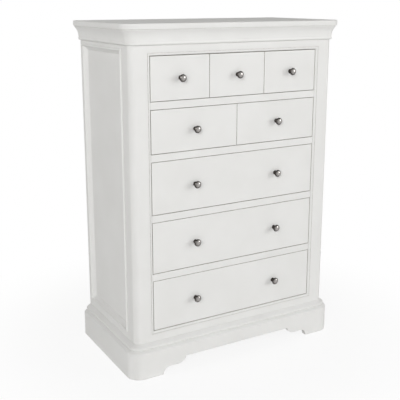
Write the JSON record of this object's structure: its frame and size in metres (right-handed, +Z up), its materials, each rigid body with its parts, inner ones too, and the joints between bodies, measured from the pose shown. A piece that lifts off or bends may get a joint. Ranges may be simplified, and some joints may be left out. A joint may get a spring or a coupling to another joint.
{
  "type": "chest of drawers",
  "caption": "Tall white painted chest of drawers with a moulded top, round corner posts, panelled sides, a bracket plinth, sliding drawers and round metal knobs.",
  "frame": {"origin": "on the floor under the middle of the chest's bounding box", "axes": "+Z up, the drawers open towards -Y, +X to the right of a person who faces the front"},
  "size_m": [1, 0.515, 1.4],
  "materials": {
    "white_paint": "satin off-white paint on wood",
    "bare_wood": "planed and waxed pale wood",
    "board": "sanded plywood",
    "polished_metal": "polished",
    "screw_steel": "zinc plated"
  },
  "bodies": {
    "carcass": {"back_panel": "board", "back_rails": "bare_wood", "back_screws": "screw_steel", "base_moulding": "white_paint", "bottom_front_rail": "white_paint", "corner_blocks": "bare_wood", "cornice": "white_paint", "drawer_dividers": "bare_wood", "drawer_guides": "bare_wood", "drawer_kickers": "bare_wood", "drawer_rails": "white_paint", "drawer_runners": "bare_wood", "front_post_left": "white_paint", "front_post_right": "white_paint", "opening_bead": "white_paint", "panel_bead_left": "white_paint", "panel_bead_right": "white_paint", "plinth_back": "white_paint", "plinth_front": "white_paint", "plinth_sides": "white_paint", "rear_post_left": "white_paint", "rear_post_right": "white_paint", "side_panel_left": "white_paint", "side_panel_right": "white_paint", "side_rails_left": "white_paint", "side_rails_right": "white_paint", "top_board": "white_paint", "top_front_rail": "white_paint"},
    "top_left_drawer": {"top_left_drawer_bottom": "board", "top_left_drawer_front": "white_paint", "top_left_drawer_knobs": "polished_metal", "top_left_drawer_sides": "bare_wood"},
    "top_middle_drawer": {"top_middle_drawer_bottom": "board", "top_middle_drawer_front": "white_paint", "top_middle_drawer_knobs": "polished_metal", "top_middle_drawer_sides": "bare_wood"},
    "top_right_drawer": {"top_right_drawer_bottom": "board", "top_right_drawer_front": "white_paint", "top_right_drawer_knobs": "polished_metal", "top_right_drawer_sides": "bare_wood"},
    "second_left_drawer": {"second_left_drawer_bottom": "board", "second_left_drawer_front": "white_paint", "second_left_drawer_knobs": "polished_metal", "second_left_drawer_sides": "bare_wood"},
    "second_right_drawer": {"second_right_drawer_bottom": "board", "second_right_drawer_front": "white_paint", "second_right_drawer_knobs": "polished_metal", "second_right_drawer_sides": "bare_wood"},
    "third_drawer": {"third_drawer_bottom": "board", "third_drawer_front": "white_paint", "third_drawer_knobs": "polished_metal", "third_drawer_sides": "bare_wood"},
    "fourth_drawer": {"fourth_drawer_bottom": "board", "fourth_drawer_front": "white_paint", "fourth_drawer_knobs": "polished_metal", "fourth_drawer_sides": "bare_wood"},
    "fifth_drawer": {"fifth_drawer_bottom": "board", "fifth_drawer_front": "white_paint", "fifth_drawer_knobs": "polished_metal", "fifth_drawer_sides": "bare_wood"}
  },
  "joints": [
    {"name": "top_left_drawer_slide", "type": "slide", "parent": "carcass", "child": "top_left_drawer", "axis": [0, -1, 0], "range_m": [0, 0.32]},
    {"name": "top_middle_drawer_slide", "type": "slide", "parent": "carcass", "child": "top_middle_drawer", "axis": [0, -1, 0], "range_m": [0, 0.32]},
    {"name": "top_right_drawer_slide", "type": "slide", "parent": "carcass", "child": "top_right_drawer", "axis": [0, -1, 0], "range_m": [0, 0.32]},
    {"name": "second_left_drawer_slide", "type": "slide", "parent": "carcass", "child": "second_left_drawer", "axis": [0, -1, 0], "range_m": [0, 0.32]},
    {"name": "second_right_drawer_slide", "type": "slide", "parent": "carcass", "child": "second_right_drawer", "axis": [0, -1, 0], "range_m": [0, 0.32]},
    {"name": "third_drawer_slide", "type": "slide", "parent": "carcass", "child": "third_drawer", "axis": [0, -1, 0], "range_m": [0, 0.32]},
    {"name": "fourth_drawer_slide", "type": "slide", "parent": "carcass", "child": "fourth_drawer", "axis": [0, -1, 0], "range_m": [0, 0.32]},
    {"name": "fifth_drawer_slide", "type": "slide", "parent": "carcass", "child": "fifth_drawer", "axis": [0, -1, 0], "range_m": [0, 0.32]}
  ]
}
